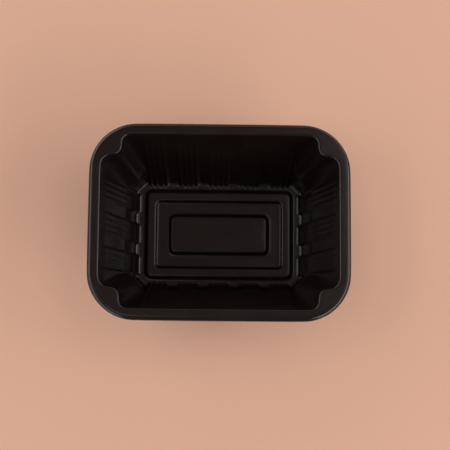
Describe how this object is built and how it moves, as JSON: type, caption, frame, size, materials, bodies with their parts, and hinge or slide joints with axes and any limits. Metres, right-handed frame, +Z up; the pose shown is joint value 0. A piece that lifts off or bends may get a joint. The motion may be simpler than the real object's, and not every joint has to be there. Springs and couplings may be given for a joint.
{
  "type": "sealing food tray",
  "caption": "Deep black plastic ready-meal tray with a flat sealing flange, inward corner tabs, fluted walls and a stepped base.",
  "frame": {"origin": "middle of the foot, on the surface the tray stands on", "axes": "+X along the tray's length, +Y across it, +Z up out of the mouth"},
  "size_m": [0.19, 0.144, 0.065],
  "materials": {
    "black_plastic": "satin black thermoformed polypropylene sheet"
  },
  "bodies": {
    "root": {"tray": "black_plastic"}
  },
  "joints": []
}
